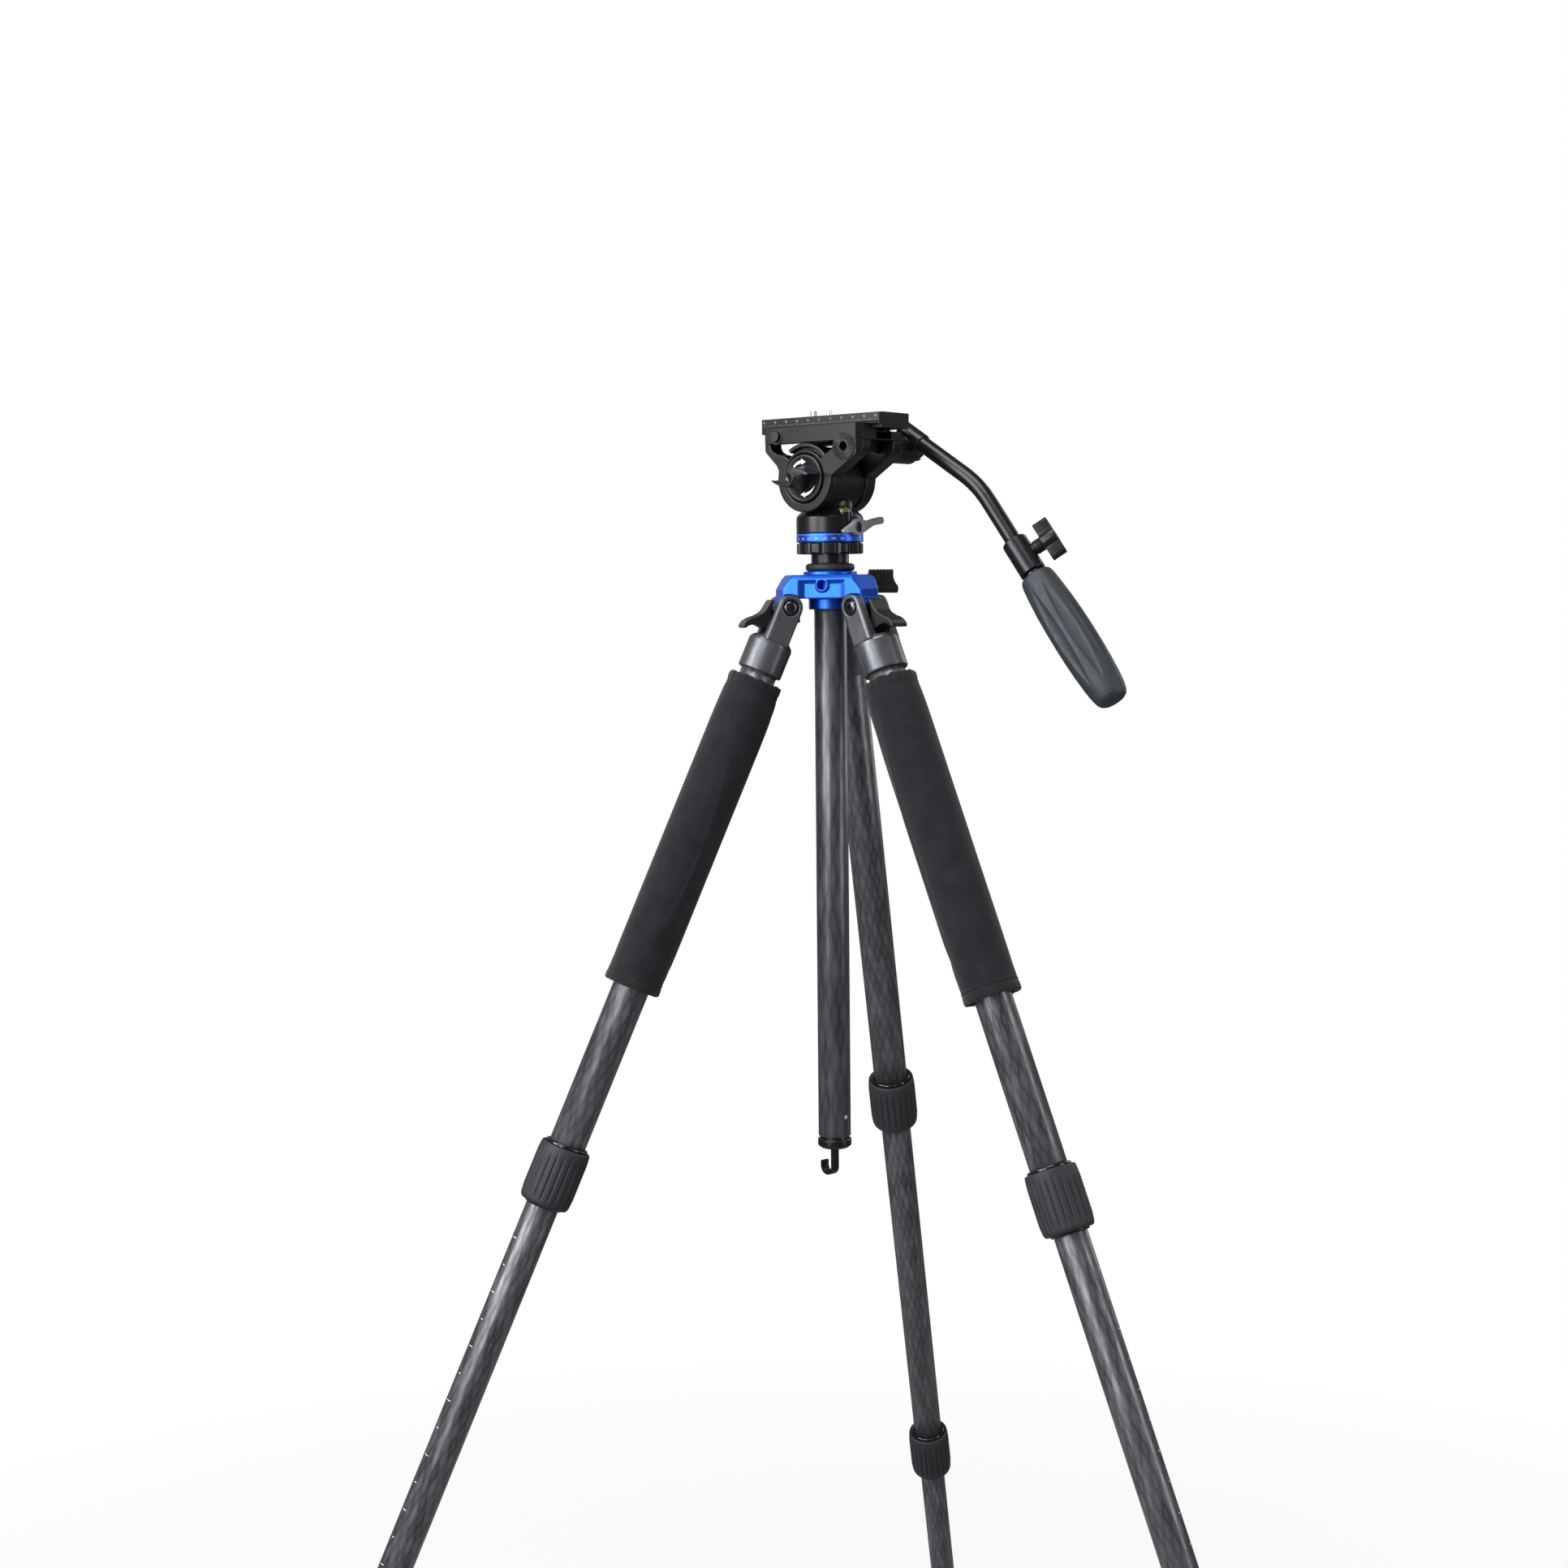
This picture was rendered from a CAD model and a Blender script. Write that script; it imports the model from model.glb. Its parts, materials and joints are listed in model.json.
"""Looks of a carbon camera tripod with a fluid head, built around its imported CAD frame.

Lengths inside the pieces are in millimetres in a local frame (a leg's, the head's, the handle's);
make_piece() turns them into metres in the row frame.
"""
import json
import math

import bmesh
import bpy
import numpy as np
from mathutils import Matrix, Vector


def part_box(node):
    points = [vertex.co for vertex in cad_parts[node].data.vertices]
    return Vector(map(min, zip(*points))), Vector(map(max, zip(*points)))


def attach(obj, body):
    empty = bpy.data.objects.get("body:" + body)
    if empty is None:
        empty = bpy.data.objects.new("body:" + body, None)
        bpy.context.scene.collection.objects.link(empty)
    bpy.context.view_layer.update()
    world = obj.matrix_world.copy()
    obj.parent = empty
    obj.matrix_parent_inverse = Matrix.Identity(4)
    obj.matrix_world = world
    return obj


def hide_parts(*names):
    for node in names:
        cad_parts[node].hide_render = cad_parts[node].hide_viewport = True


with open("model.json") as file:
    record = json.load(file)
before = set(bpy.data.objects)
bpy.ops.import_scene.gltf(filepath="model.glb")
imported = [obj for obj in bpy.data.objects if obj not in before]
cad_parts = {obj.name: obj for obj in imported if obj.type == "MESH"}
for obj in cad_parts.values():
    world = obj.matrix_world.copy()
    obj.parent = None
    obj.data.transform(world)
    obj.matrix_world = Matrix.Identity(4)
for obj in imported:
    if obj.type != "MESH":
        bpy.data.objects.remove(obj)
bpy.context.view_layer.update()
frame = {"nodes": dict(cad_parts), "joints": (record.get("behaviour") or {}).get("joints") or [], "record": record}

MM = 0.001
SCENE = bpy.context.scene
JOINTS = {joint["name"]: joint for joint in frame["joints"]}
LEGS = ("leg_a", "leg_b", "leg_c")


# ---- local frames

def joint_point(name):
    return Vector(JOINTS[name]["pos_m"])


def joint_axis(name):
    return Vector(JOINTS[name]["axis"]).normalized()


def frame_of(origin, x, y, z):
    """Matrix from a local frame in metres to the row frame."""
    matrix = Matrix.Identity(4)
    for column, axis in enumerate((x, y, z)):
        for row in range(3):
            matrix[row][column] = axis[row]
    matrix.translation = origin
    return matrix


def leg_frame(leg):
    """x outwards, y along the pivot, z up the leg; origin at the pivot."""
    up = -joint_axis(leg + "_middle_slide")
    across = -joint_axis(leg + "_spread")
    return frame_of(joint_point(leg + "_spread"), across.cross(up), across, up)


UP = Vector((0, 0, 1))
HEAD_X = joint_axis("plate_shift")
HEAD_Y = joint_axis("button_press")
PIVOT_LEVEL = joint_point("pan")
COLUMN = frame_of(PIVOT_LEVEL, Vector((1, 0, 0)), Vector((0, 1, 0)), UP)
HEAD = frame_of(PIVOT_LEVEL, HEAD_X, HEAD_Y, UP)
GRIP_X = joint_axis("grip_extend")
GRIP_START = joint_point("grip_knob_turn")
GRIP = frame_of(GRIP_START, GRIP_X, HEAD_Y, GRIP_X.cross(HEAD_Y))
KNOB_Z = joint_axis("grip_knob_turn")
GRIP_KNOB = frame_of(GRIP_START, GRIP_X, KNOB_Z.cross(GRIP_X), KNOB_Z)
TILT_AXIS = frame_of(joint_point("tilt"), HEAD_X, UP, -HEAD_Y)

TUBE_R = {"upper": 16.2, "middle": 14.4, "lower": 12.6}
SLEEVE_TOP_R, SLEEVE_BODY_R, SLEEVE_END_R = 23.3, 25.3, 24.6
SLEEVE_ROWS, SLEEVE_STEPS = 84, 88
DIAL_FACE = 36.6
DIAL_R = 20.5
FLAT_BORDER = ((-0.28, 0), (-0.1, 0.16), (0.1, 0.16), (0.28, 0))


# ---- materials

def wire(tree, kind, settings=None, **inputs):
    """Adds a shader node. An input is a value or another node's output; _0, _1 pick it by number."""
    node = tree.nodes.new("ShaderNode" + kind)
    for key, value in (settings or {}).items():
        setattr(node, key, value)
    for key, value in inputs.items():
        socket = node.inputs[int(key[1:])] if key[0] == "_" else node.inputs[key.replace("_", " ")]
        if isinstance(value, bpy.types.NodeSocket):
            tree.links.new(value, socket)
        else:
            socket.default_value = value
    return node.outputs[0]


def maths(tree, operation, a, b=0.0, c=0.0):
    return wire(tree, "Math", {"operation": operation}, _0=a, _1=b, _2=c)


def ramp(tree, factor, low, high, start=0.0, end=1.0):
    """factor between start and end mapped to low..high, clamped."""
    node = tree.nodes.new("ShaderNodeMapRange")
    tree.links.new(factor, node.inputs["Value"])
    for key, value in (("From Min", start), ("From Max", end), ("To Min", low), ("To Max", high)):
        node.inputs[key].default_value = value
    return node.outputs["Result"]


def mix_colour(tree, factor, a, b):
    node = tree.nodes.new("ShaderNodeMix")
    node.data_type = "RGBA"
    tree.links.new(factor, node.inputs["Factor"])
    for key, value in (("A", a), ("B", b)):
        socket = [s for s in node.inputs if s.name == key and s.type == "RGBA"][0]
        if isinstance(value, bpy.types.NodeSocket):
            tree.links.new(value, socket)
        else:
            socket.default_value = (*value, 1)
    return [s for s in node.outputs if s.type == "RGBA"][0]


def noise(tree, scale, detail=3.0, stretch=None):
    """Noise in the object's own metres; stretch scales the axes."""
    place = tree.nodes.new("ShaderNodeTexCoord").outputs["Object"]
    if stretch:
        place = wire(tree, "Mapping", None, Vector=place, Scale=stretch)
    return wire(tree, "TexNoise", None, Vector=place, Scale=scale, Detail=detail)


def new_material(name):
    material = bpy.data.materials.new(name)
    material.use_nodes = True
    tree = material.node_tree
    return material, tree, tree.nodes["Principled BSDF"]


def bump(tree, shader, height, depth_mm):
    normal = wire(tree, "Bump", None, Height=height, Distance=depth_mm * MM, Strength=1.0)
    tree.links.new(normal, shader.inputs["Normal"])


def finish_material(name, colour, rough, metal=0.0, grain=2200.0, grain_mm=0.02, wear=0.12,
                    coat=0.0, specular=0.5, scuff=0.06):
    """A painted, anodised or moulded finish: fine grain, slow mottling and patches of wear."""
    material, tree, shader = new_material(name)
    fine = noise(tree, grain, 2.0)
    slow = noise(tree, 45.0, 4.0)
    pale = tuple(min(1.0, c * (1 + wear) + wear * 0.01) for c in colour)
    dark = tuple(c * (1 - wear) for c in colour)
    mottled = mix_colour(tree, ramp(tree, slow, 0, 1, 0.35, 0.65), dark, pale)
    tree.links.new(mottled, shader.inputs["Base Color"])
    scratches = noise(tree, 160.0, 5.0, (1, 1, 0.25))
    roughness = ramp(tree, scratches, rough - scuff, rough + scuff, 0.3, 0.7)
    tree.links.new(roughness, shader.inputs["Roughness"])
    shader.inputs["Metallic"].default_value = metal
    shader.inputs["Coat Weight"].default_value = coat
    shader.inputs["Coat Roughness"].default_value = 0.15
    shader.inputs["Specular IOR Level"].default_value = specular
    bump(tree, shader, fine, grain_mm)
    return material


def carbon_material(name, cells_round, cell_mm, contrast):
    """Wound carbon tube: long lozenges where the tows cross, some lighter, some darker, under a satin coat.

    It reads the tube's UV: u is turns about the tube, v is millimetres along it / 1000."""
    material, tree, shader = new_material(name)
    uv = tree.nodes.new("ShaderNodeTexCoord").outputs["UV"]
    split = wire(tree, "SeparateXYZ", None, Vector=uv).node.outputs
    around = maths(tree, "MULTIPLY", split[0], cells_round)
    along = maths(tree, "DIVIDE", split[1], cell_mm * MM)
    rising, falling = maths(tree, "ADD", along, around), maths(tree, "SUBTRACT", along, around)
    up, down = maths(tree, "FLOOR", rising), maths(tree, "FLOOR", falling)
    row = maths(tree, "ADD", up, down)
    column = maths(tree, "FLOORED_MODULO", maths(tree, "SUBTRACT", up, down), 2 * cells_round)
    cell = wire(tree, "CombineXYZ", None, X=row, Y=column, Z=0.0)
    shade = wire(tree, "TexWhiteNoise", {"noise_dimensions": "2D"}, Vector=cell)
    within = [maths(tree, "PINGPONG", way, 0.5) for way in (rising, falling)]
    lens = ramp(tree, maths(tree, "MULTIPLY", *within), 0.0, 1.0, 0.0, 0.16)
    fibre_place = wire(tree, "Mapping", None, Vector=uv, Scale=(70.0, 14.0, 1.0))
    fibre = wire(tree, "TexNoise", None, Vector=fibre_place, Scale=1.0, Detail=5.0)
    tone = maths(tree, "ADD", maths(tree, "MULTIPLY", shade, 0.45), maths(tree, "MULTIPLY", lens, 0.3))
    tone = maths(tree, "ADD", tone, ramp(tree, fibre, -0.12, 0.25, 0.35, 0.7))
    factor = maths(tree, "MULTIPLY", ramp(tree, tone, 0.0, 1.0), contrast)
    colour = mix_colour(tree, factor, (0.02, 0.021, 0.025), (0.2, 0.21, 0.235))
    tree.links.new(colour, shader.inputs["Base Color"])
    tree.links.new(ramp(tree, tone, 0.42, 0.32), shader.inputs["Roughness"])
    shader.inputs["Metallic"].default_value = 0.35
    shader.inputs["Coat Weight"].default_value = 0.3
    shader.inputs["Coat Roughness"].default_value = 0.25
    bump(tree, shader, maths(tree, "ADD", lens, fibre), 0.012)
    return material


def twill_material(name, colour, thread_mm):
    """Knitted or woven cloth with a diagonal rib; it reads the piece's UV, in metres."""
    material, tree, shader = new_material(name)
    place = wire(tree, "SeparateXYZ", None, Vector=tree.nodes.new("ShaderNodeTexCoord").outputs["UV"])
    split = place.node.outputs
    pitch = thread_mm * MM
    diagonal = maths(tree, "ADD", maths(tree, "DIVIDE", split[0], pitch),
                     maths(tree, "DIVIDE", split[1], pitch * 1.5))
    across = maths(tree, "SUBTRACT", maths(tree, "DIVIDE", split[0], pitch * 0.5),
                   maths(tree, "DIVIDE", split[1], pitch * 0.5))
    rib = maths(tree, "PINGPONG", diagonal, 0.5)
    stitch = maths(tree, "PINGPONG", across, 0.5)
    weave = maths(tree, "ADD", maths(tree, "MULTIPLY", rib, 1.3), maths(tree, "MULTIPLY", stitch, 0.5))
    slow = noise(tree, 60.0, 3.0)
    low = tuple(c * 0.3 for c in colour)
    high = tuple(c * 2.1 for c in colour)
    patches = ramp(tree, slow, -0.15, 0.15, 0.3, 0.7)
    lit = maths(tree, "ADD", maths(tree, "MULTIPLY", weave, 0.85), patches)
    tree.links.new(mix_colour(tree, lit, low, high), shader.inputs["Base Color"])
    shader.inputs["Roughness"].default_value = 0.92
    shader.inputs["Sheen Weight"].default_value = 0.16
    shader.inputs["Sheen Roughness"].default_value = 0.45
    shader.inputs["Specular IOR Level"].default_value = 0.2
    bump(tree, shader, weave, 0.16)
    return material


def glass_material(name):
    material, tree, shader = new_material(name)
    shader.inputs["Base Color"].default_value = (0.16, 0.22, 0.09, 1)
    shader.inputs["Roughness"].default_value = 0.04
    shader.inputs["Transmission Weight"].default_value = 0.45
    shader.inputs["IOR"].default_value = 1.45
    bump(tree, shader, noise(tree, 300.0), 0.004)
    return material


FINISHES = {
    "blue_anodised": dict(colour=(0.014, 0.092, 0.55), rough=0.35, metal=0.85, grain=3200, grain_mm=0.008,
                          wear=0.03, scuff=0.02),
    "black_plastic": dict(colour=(0.006, 0.006, 0.007), rough=0.33, grain=1500, grain_mm=0.014, specular=0.4,
                          scuff=0.03),
    "black_metal": dict(colour=(0.004, 0.0044, 0.006), rough=0.3, grain=2600, grain_mm=0.008, specular=0.3,
                        scuff=0.02),
    "grey_metal": dict(colour=(0.09, 0.094, 0.104), rough=0.36, metal=0.65, grain=2400, grain_mm=0.012),
    "grip_rubber": dict(colour=(0.02, 0.0255, 0.031), rough=0.55, grain=1400, grain_mm=0.03, specular=0.35),
    "rubber": dict(colour=(0.018, 0.02, 0.0235), rough=0.6, grain=1400, grain_mm=0.03, specular=0.3),
    "bumper_rubber": dict(colour=(0.014, 0.015, 0.017), rough=0.55, grain=1400, grain_mm=0.03, specular=0.3),
    "foot_rubber": dict(colour=(0.014, 0.014, 0.016), rough=0.7, grain=900, grain_mm=0.06, wear=0.3),
    "steel": dict(colour=(0.78, 0.78, 0.79), rough=0.36, metal=0.8, grain=3000, grain_mm=0.005, wear=0.04),
    "bolt_metal": dict(colour=(0.075, 0.075, 0.082), rough=0.2, metal=0.9, grain=3000, grain_mm=0.004),
    "brass": dict(colour=(0.62, 0.42, 0.2), rough=0.3, metal=1.0, grain=2500, grain_mm=0.008),
    "lever_grey": dict(colour=(0.2, 0.21, 0.235), rough=0.42, metal=0.3, grain=1800, grain_mm=0.015,
                       wear=0.08),
    "dial_dark": dict(colour=(0.009, 0.0095, 0.012), rough=0.4, grain=1500, grain_mm=0.014, specular=0.35,
                      scuff=0.03),
    "gloss_black": dict(colour=(0.006, 0.006, 0.007), rough=0.1, grain=900, grain_mm=0.003, scuff=0.03),
    "white_print": dict(colour=(0.85, 0.85, 0.85), rough=0.55, wear=0.02),
    "pale_print": dict(colour=(0.36, 0.42, 0.6), rough=0.5, wear=0.1),
    "grey_print": dict(colour=(0.3, 0.3, 0.31), rough=0.5, wear=0.1),
}
MATERIALS = {name: finish_material(name, **look) for name, look in FINISHES.items()}
MATERIALS["carbon_column"] = carbon_material("carbon_column", 10, 40.0, 0.45)
MATERIALS["carbon"] = carbon_material("carbon_leg", 14, 26.0, 0.6)
MATERIALS["fabric"] = twill_material("sleeve_cloth", (0.008, 0.009, 0.0115), 1.5)
MATERIALS["hem_cloth"] = twill_material("hem_cloth", (0.0095, 0.01, 0.0115), 0.8)
MATERIALS["vial"] = glass_material("vial")


# ---- building pieces

def make_piece(name, points, faces, place, body, finish, slot=None, replaces=(), uvs=None, smooth=True):
    """A mesh piece from points in local millimetres; place is the local frame, in metres."""
    mesh = bpy.data.meshes.new(name)
    mesh.from_pydata([place @ (Vector(p) * MM) for p in points], [], [tuple(f) for f in faces])
    if uvs is not None:
        layer = mesh.uv_layers.new(name="UVMap")
        layer.data.foreach_set("uv", np.asarray(uvs, np.float32).ravel())
    mesh.polygons.foreach_set("use_smooth", [smooth] * len(mesh.polygons))
    mesh.validate()
    mesh.materials.append(MATERIALS[finish])
    piece = bpy.data.objects.new(name, mesh)
    SCENE.collection.objects.link(piece)
    return dress(piece, body, slot or finish, replaces)


def dress(piece, body, slot, replaces=()):
    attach(piece, body)
    if replaces:
        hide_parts(*replaces)
    return piece


def grid(rows, columns, point, closed=True, cap=(False, False), uv=None):
    """points, faces and UVs of a grid of rows x columns; point(i, j) is a local point, j runs round."""
    points = [point(i, j) for i in range(rows) for j in range(columns)]
    faces, uvs = [], []
    last = columns if closed else columns - 1
    for i in range(rows - 1):
        for j in range(last):
            k = (j + 1) % columns
            faces.append((i * columns + j, i * columns + k, (i + 1) * columns + k, (i + 1) * columns + j))
            if uv:
                uvs += [uv(i, j), uv(i, j + 1), uv(i + 1, j + 1), uv(i + 1, j)]
    for end, wanted in ((0, cap[0]), (rows - 1, cap[1])):
        if wanted:
            rim = [end * columns + j for j in range(columns)]
            faces.append(rim[::-1] if end == 0 else rim)
            if uv:
                uvs += [uv(end, j) for j in range(columns)]
    return points, faces, (uvs if uv else None)


def run_lengths(section):
    """Length along an open outline up to each of its points."""
    lengths = [0.0]
    for (a0, b0), (a1, b1) in zip(section, section[1:]):
        lengths.append(lengths[-1] + math.hypot(a1 - a0, b1 - b0))
    return lengths


def lathe(profile, steps=96, wobble=None, cap=(True, True)):
    """profile is [(radius, z), ...] turned about z. wobble(r, z, angle) may change a radius."""
    lengths = run_lengths(profile)

    def point(i, j):
        r, z = profile[i]
        angle = 2 * math.pi * j / steps
        if wobble:
            r = wobble(r, z, angle)
        return (r * math.cos(angle), r * math.sin(angle), z)

    return grid(len(profile), steps, point, cap=cap, uv=lambda i, j: (j / steps, lengths[i] * MM))


def ring(profile, steps=96, cap=(False, False)):
    """points and faces of a lathed shape that stays open."""
    return lathe(profile, steps, cap=cap)[:2]


def mirrored(outline):
    return [(-x, -y) for x, y in outline]


def rounded(outline, radius, steps=5):
    """An outline with each corner rounded to about radius."""
    made = []
    count = len(outline)
    for k in range(count):
        corner = Vector(outline[k])
        before = Vector(outline[k - 1]) - corner
        after = Vector(outline[(k + 1) % count]) - corner
        cut = min(radius, before.length * 0.45, after.length * 0.45)
        start, end = corner + before.normalized() * cut, corner + after.normalized() * cut
        for step in range(steps + 1):
            t = step / steps
            made.append(tuple(start * (1 - t) ** 2 + corner * 2 * t * (1 - t) + end * t * t))
    return made


def block(outline, z0, z1, edge=0.4, steps=3):
    """An outline pushed from z0 to z1 with rounded rims (edge pulls the rim in)."""
    count = len(outline)
    normals = []
    for k in range(count):
        along = Vector(outline[(k + 1) % count]) - Vector(outline[k - 1])
        normals.append(Vector((along.y, -along.x)).normalized() if along.length > 1e-9 else Vector((0, 0)))
    turned = sum(Vector(outline[k - 1]).cross(Vector(outline[k])) for k in range(count))
    side = 1 if turned > 0 else -1
    rings = []
    for step in range(steps + 1):
        a = math.pi / 2 * step / steps
        rings.append((edge * (1 - math.sin(a)), z0 + edge * (1 - math.cos(a))))
    rings += [(inset, z0 + z1 - z) for inset, z in reversed(rings)]

    def point(i, j):
        inset, z = rings[i]
        x, y = Vector(outline[j]) - normals[j] * side * inset
        return (x, y, z)

    return grid(len(rings), count, point, cap=(True, True))[:2]


def joined(*shapes):
    """Several (points, faces) as one."""
    points, faces = [], []
    for shape in shapes:
        offset = len(points)
        points += list(shape[0])
        faces += [tuple(v + offset for v in face) for face in shape[1]]
    return points, faces


def moved(shape, change):
    return [change(Vector(p)) for p in shape[0]], shape[1]


def remeshed_copy(node, name, voxel_mm, smoothing, finish, body):
    """A cast or moulded copy of a CAD node: its edges and inner corners come out rounded."""
    source = frame["nodes"][node]
    mesh = source.data.copy()
    mesh.name = name
    mesh.materials.clear()
    mesh.materials.append(MATERIALS[finish])
    piece = bpy.data.objects.new(name, mesh)
    SCENE.collection.objects.link(piece)
    weld = piece.modifiers.new("weld", "WELD")
    weld.merge_threshold = 0.00001
    remesh = piece.modifiers.new("remesh", "REMESH")
    remesh.mode = "VOXEL"
    remesh.voxel_size = voxel_mm * MM
    relax = piece.modifiers.new("relax", "SMOOTH")
    relax.factor = 0.5
    relax.iterations = smoothing
    apply_modifiers(piece)
    piece.data.polygons.foreach_set("use_smooth", [True] * len(piece.data.polygons))
    return dress(piece, body, finish, (node,))


def apply_modifiers(piece):
    bpy.context.view_layer.update()
    graph = bpy.context.evaluated_depsgraph_get()
    made = bpy.data.meshes.new_from_object(piece.evaluated_get(graph))
    old = piece.data
    piece.modifiers.clear()
    piece.data = made
    made.name = old.name
    bpy.data.meshes.remove(old)


# ---- CAD nodes that stay

def soften_edges(node, width_mm, angle=32):
    """Small real roundings on a machined CAD part's edges, as modifiers over its fixed mesh."""
    piece = frame["nodes"][node]
    weld = piece.modifiers.new("weld", "WELD")
    weld.merge_threshold = 0.00001
    flat = piece.modifiers.new("flat", "DECIMATE")
    flat.decimate_type = "DISSOLVE"
    flat.angle_limit = math.radians(0.6)
    edge = piece.modifiers.new("edge", "BEVEL")
    edge.width = width_mm * MM
    edge.segments = 2
    edge.limit_method = "ANGLE"
    edge.angle_limit = math.radians(angle)
    edge.harden_normals = False
    edge.use_clamp_overlap = True
    normal = piece.modifiers.new("normal", "WEIGHTED_NORMAL")
    normal.keep_sharp = True


def dress_cad_nodes():
    slots = {part["node"]: part["material_slot"] for part in frame["record"]["subparts"]}
    finishes = {"column_tube": "carbon_column", "pivot_bolts": "bolt_metal", "tilt_shaft": "black_metal",
                "drag_knob_screw": "gloss_black", "pan_lever_screw": "bolt_metal"}
    for node, piece in frame["nodes"].items():
        material = MATERIALS[finishes.get(node, slots[node])]
        if not piece.material_slots:
            piece.data.materials.append(material)
        for slot in piece.material_slots:
            slot.material = material
        piece.data.polygons.foreach_set("use_smooth", [True] * len(piece.data.polygons))
    for node in ("pivot_blocks", "column_platform", "pan_base", "pan_housing", "clamp_jaw", "handle_ferrule",
                 "weight_hook", "release_button", "camera_screw", "anti_twist_pin", "pivot_bolts"):
        soften_edges(node, 0.35)
    for node in ("clamp_platform", "camera_plate", "pan_lever"):
        soften_edges(node, 0.6)


# ---- stage, light and camera

def make_stage():
    """Pale floor that goes over to the plain background towards its rim."""
    floor_radius = 9.0
    mesh = bpy.data.meshes.new("floor")
    edge = bmesh.new()
    bmesh.ops.create_circle(edge, cap_ends=True, segments=128, radius=floor_radius)
    edge.to_mesh(mesh)
    edge.free()
    floor = bpy.data.objects.new("floor", mesh)
    floor.location.z = -0.0002
    SCENE.collection.objects.link(floor)
    material, tree, shader = new_material("floor")
    shader.inputs["Base Color"].default_value = (0.82, 0.82, 0.82, 1)
    shader.inputs["Roughness"].default_value = 0.9
    place = tree.nodes.new("ShaderNodeTexCoord").outputs["Object"]
    distance = wire(tree, "VectorMath", {"operation": "LENGTH"}, _0=place).node.outputs["Value"]
    seen = wire(tree, "LightPath")
    glow = wire(tree, "Emission", None, Color=(1, 1, 1, 1), Strength=ramp(tree, seen, 0.12, 1.0))
    fade = ramp(tree, distance, 0.7, 1.0, 0.6, 2.0)
    mixed = wire(tree, "MixShader", None, _0=fade, _1=shader.outputs[0], _2=glow)
    tree.links.new(mixed, tree.nodes["Material Output"].inputs["Surface"])
    mesh.materials.append(material)


def area_light(name, place, target, size, power):
    light = bpy.data.lights.new(name, "AREA")
    light.shape = "RECTANGLE"
    light.size, light.size_y = size
    light.energy = power
    lamp = bpy.data.objects.new(name, light)
    lamp.location = place
    lamp.rotation_euler = (Vector(target) - Vector(place)).to_track_quat("-Z", "Y").to_euler()
    SCENE.collection.objects.link(lamp)


def make_light():
    world = bpy.data.worlds.new("studio")
    world.use_nodes = True
    tree = world.node_tree
    tree.nodes.clear()
    soft = wire(tree, "Background", None, Color=(1.0, 1.0, 1.0, 1), Strength=0.13)
    seen = wire(tree, "Background", None, Color=(1, 1, 1, 1), Strength=1.0)
    camera_ray = wire(tree, "LightPath")
    mixed = wire(tree, "MixShader", None, _0=camera_ray, _1=soft, _2=seen)
    output = tree.nodes.new("ShaderNodeOutputWorld")
    tree.links.new(mixed, output.inputs["Surface"])
    SCENE.world = world
    target = PIVOT_LEVEL - UP * 0.25
    area_light("key", (-1.8, -1.86, 2.2), target, (1.25, 1.7), 84)
    area_light("front", (-0.6, -2.6, 1.6), target, (0.75, 1.5), 30)
    area_light("side", (2.3, -0.5, 1.5), target, (0.6, 2.2), 25)
    area_light("top", (-0.1, -0.9, 3.0), target, (1.2, 0.9), 34)
    area_light("rim", (-1.5, 1.7, 1.8), target, (0.8, 2.0), 3)
    area_light("back", (1.5, 1.8, 2.0), target, (0.8, 2.0), 14)
    area_light("low", (-0.9, -2.0, 0.7), (0, 0, 0.6), (0.5, 1.3), 8)


def make_camera():
    """Level with the leg pivots, a little down, from the front between legs b and c."""
    distance, bearing = 2.1677, math.radians(13.274)
    pitch, yaw, roll = math.radians(4.111), math.radians(-1.12), math.radians(-0.548)
    height = PIVOT_LEVEL.z + 0.0005
    around = Matrix.Rotation(bearing, 3, "Z")
    forward = Vector((math.sin(yaw) * math.cos(pitch), math.cos(yaw) * math.cos(pitch), -math.sin(pitch)))
    right = forward.cross(UP).normalized()
    above = right.cross(forward)
    turned_right = right * math.cos(roll) + above * math.sin(roll)
    turned_above = above * math.cos(roll) - right * math.sin(roll)
    camera = bpy.data.cameras.new("camera")
    camera.lens = 56.39
    camera.sensor_width = 36
    view = bpy.data.objects.new("camera", camera)
    place = PIVOT_LEVEL + around @ Vector((0, -distance, 0))
    place.z = height
    view.matrix_world = frame_of(place, around @ turned_right, around @ turned_above, around @ -forward)
    SCENE.collection.objects.link(view)
    SCENE.camera = view


# ---- legs

def carbon_tube(name, node, place, outer, inner, low, high, body, finish):
    """An open carbon tube with a rounded lip at each end, in place of its CAD node."""
    lip = 0.25
    profile = [(inner, high), (inner, low + lip), (inner + lip, low), (outer - lip, low), (outer, low + lip),
               (outer, high - lip), (outer - lip, high)]
    points, faces, uvs = lathe(profile, 72, cap=(False, False))
    make_piece(name, points, faces, place, body, finish, "carbon", (node,), uvs)


def along_leg(leg, node):
    """How far down the leg a node starts and ends, in millimetres from the pivot."""
    inverse = leg_frame(leg).inverted()
    heights = [(inverse @ vertex.co).z / MM for vertex in frame["nodes"][node].data.vertices]
    return min(heights), max(heights)


def leg_tubes(leg):
    place = leg_frame(leg)
    wall = 1.3
    for part, outer in TUBE_R.items():
        node = f"{leg}_{part}_tube"
        body = leg if part == "upper" else f"{leg}_{part}"
        low, high = along_leg(leg, node)
        carbon_tube(f"{leg}_{part}_carbon", node, place, outer, outer - wall, low, high, body, "carbon")


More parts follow.
